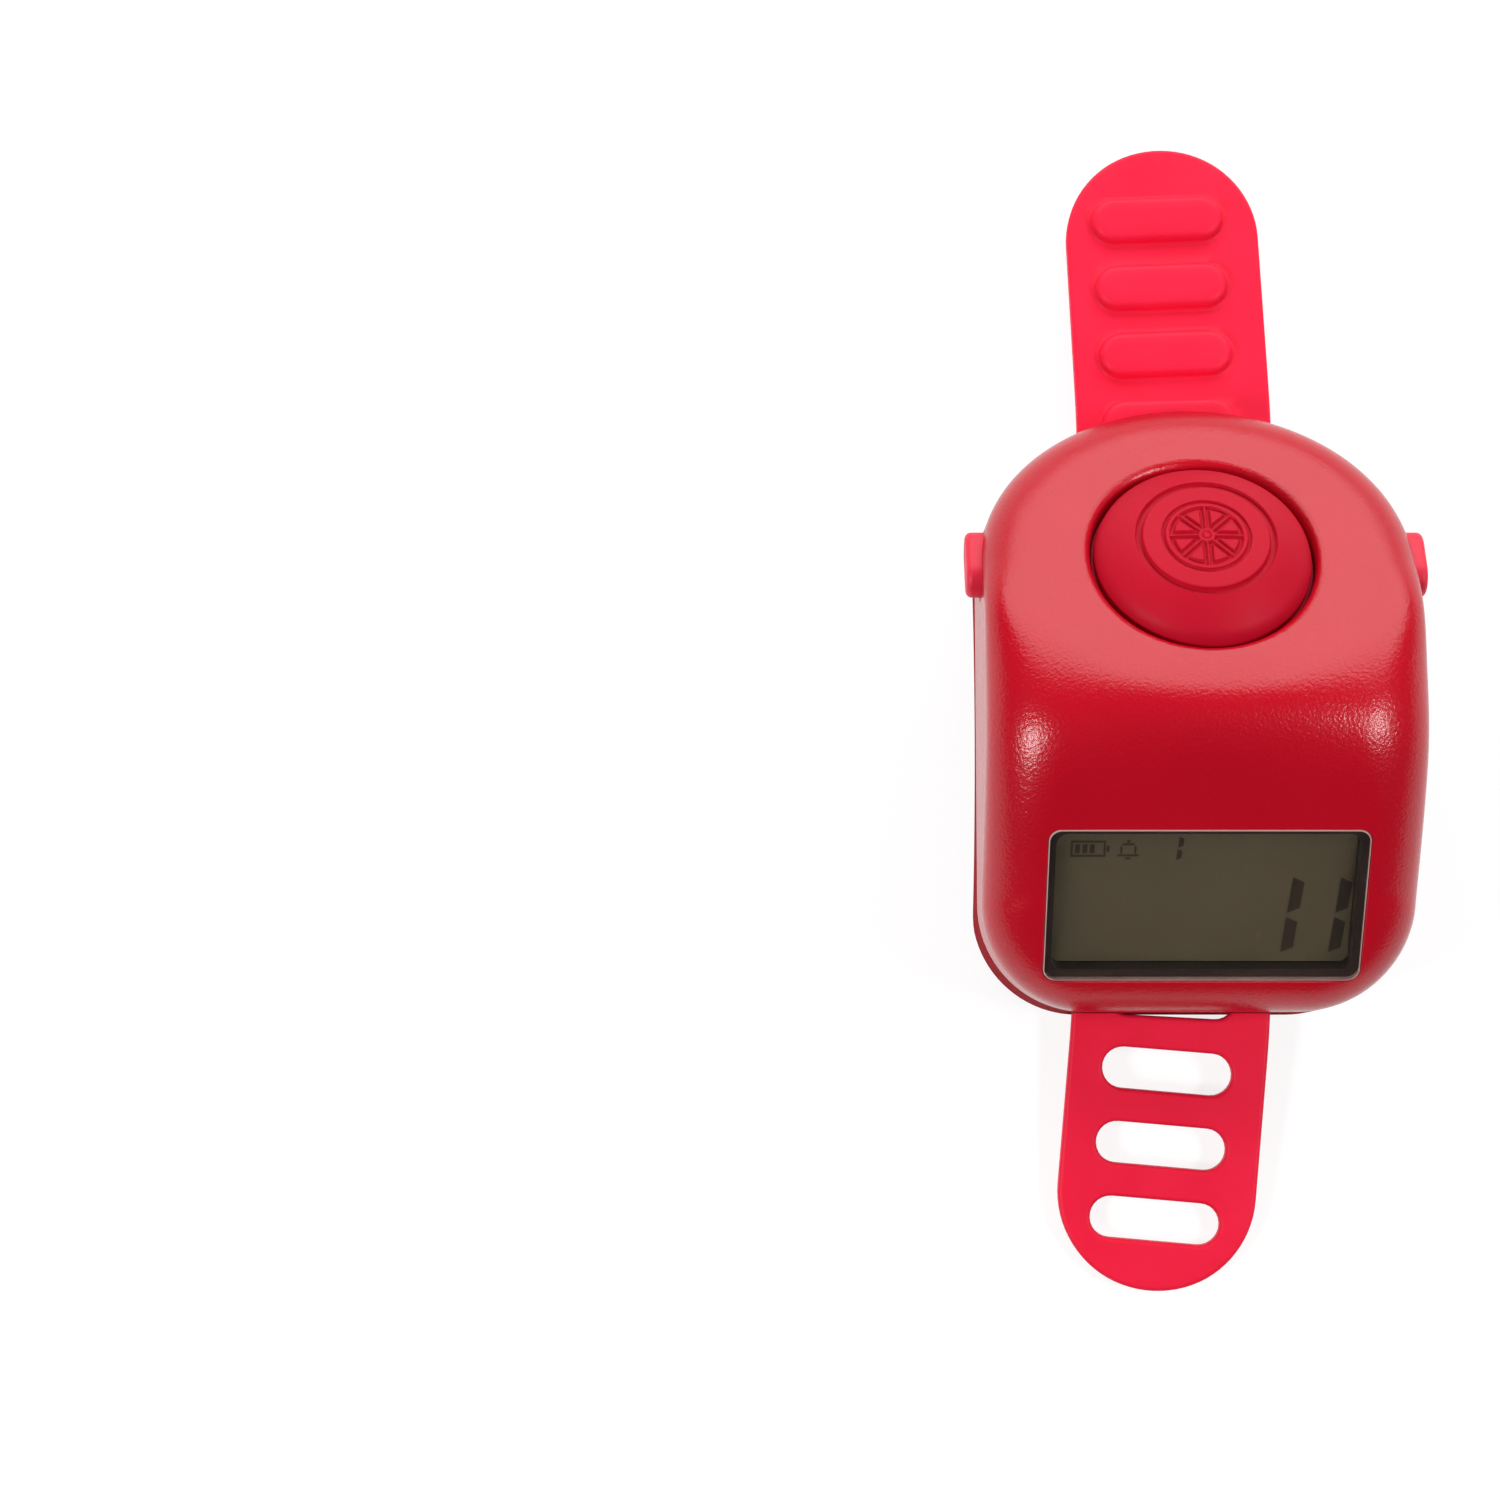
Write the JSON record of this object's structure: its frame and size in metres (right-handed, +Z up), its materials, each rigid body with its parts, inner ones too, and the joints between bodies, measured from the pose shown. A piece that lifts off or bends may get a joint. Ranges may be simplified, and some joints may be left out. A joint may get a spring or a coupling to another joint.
{
  "type": "digital finger tally counter",
  "caption": "Wedge-shaped finger tally counter with a domed count button, a display window, side buttons and a soft open strap.",
  "frame": {"origin": "middle of the footprint on the surface that the counter and its open strap lie on", "axes": "+Z up, -Y towards the display end, +Y towards the count button end, +X to the right seen from the display end"},
  "size_m": [0.0334, 0.087, 0.0224],
  "materials": {
    "shell_plastic": "moulded ABS with a fine spark-eroded satin texture",
    "cover_plastic": "moulded ABS, satin",
    "button_plastic": "moulded ABS, matte",
    "side_button_plastic": "moulded soft plastic, satin",
    "silicone": "moulded silicone rubber, soft satin",
    "clear_window": "clear acrylic, polished",
    "display_glass": "liquid crystal cell with a reflective back",
    "foam": "black foam",
    "conductive_rubber": "layered conductive rubber",
    "light_guide": "diffusing acrylic",
    "white_plastic": "moulded white plastic",
    "switch_plastic": "moulded black nylon",
    "circuit_board": "glass-fibre board with green solder mask",
    "epoxy": "black potting epoxy",
    "ribbon_film": "polyimide film",
    "steel": "zinc-plated steel",
    "tin": "nickel-plated steel",
    "spring_brass": "spring brass"
  },
  "bodies": {
    "case": {"upper_shell": "shell_plastic", "bottom_cover": "cover_plastic", "battery_door": "cover_plastic", "battery_door_screw": "steel", "case_screw_front_left": "steel", "case_screw_front_right": "steel", "case_screw_rear_left": "steel", "case_screw_rear_right": "steel", "display_window": "clear_window", "window_gasket": "foam", "lcd_glass": "display_glass", "lcd_bezel": "white_plastic", "rubber_strip_upper": "conductive_rubber", "rubber_strip_lower": "conductive_rubber", "backlight_plate": "light_guide", "backlight_led": "white_plastic", "main_board": "circuit_board", "main_board_screw_left": "steel", "main_board_screw_right": "steel", "controller_blob": "epoxy", "quartz_crystal": "tin", "switch_board": "circuit_board", "switch_board_screw_left": "steel", "switch_board_screw_right": "steel", "count_switch_body": "switch_plastic", "left_switch_body": "switch_plastic", "right_switch_body": "switch_plastic", "coin_cell": "tin", "battery_contact_plus": "spring_brass", "battery_contact_minus": "spring_brass", "board_ribbon": "ribbon_film", "finger_strap": "silicone"},
    "count_button": {"count_button": "button_plastic"},
    "count_plunger": {"count_switch_plunger": "white_plastic"},
    "left_button": {"left_side_button": "side_button_plastic"},
    "left_plunger": {"left_switch_plunger": "white_plastic"},
    "right_button": {"right_side_button": "side_button_plastic"},
    "right_plunger": {"right_switch_plunger": "white_plastic"}
  },
  "joints": [
    {"name": "count_press", "type": "slide", "parent": "case", "child": "count_button", "axis": [0, -0.4679, -0.8838], "range_m": [0, 0.0006], "stiffness_N_per_m": 1500},
    {"name": "count_plunger_travel", "type": "slide", "parent": "case", "child": "count_plunger", "axis": [0, -0.4679, -0.8838], "range_m": [0, 0.0006]},
    {"name": "left_press", "type": "slide", "parent": "case", "child": "left_button", "axis": [1, 0, 0], "range_m": [0, 0.0004], "stiffness_N_per_m": 1500},
    {"name": "left_plunger_travel", "type": "slide", "parent": "case", "child": "left_plunger", "axis": [1, 0, 0], "range_m": [0, 0.0004]},
    {"name": "right_press", "type": "slide", "parent": "case", "child": "right_button", "axis": [-1, 0, 0], "range_m": [0, 0.0004], "stiffness_N_per_m": 1500},
    {"name": "right_plunger_travel", "type": "slide", "parent": "case", "child": "right_plunger", "axis": [-1, 0, 0], "range_m": [0, 0.0004]}
  ],
  "couplings": [
    {"joint": "count_plunger_travel", "follows": "count_press", "ratio": 1},
    {"joint": "left_plunger_travel", "follows": "left_press", "ratio": 1},
    {"joint": "right_plunger_travel", "follows": "right_press", "ratio": 1}
  ]
}
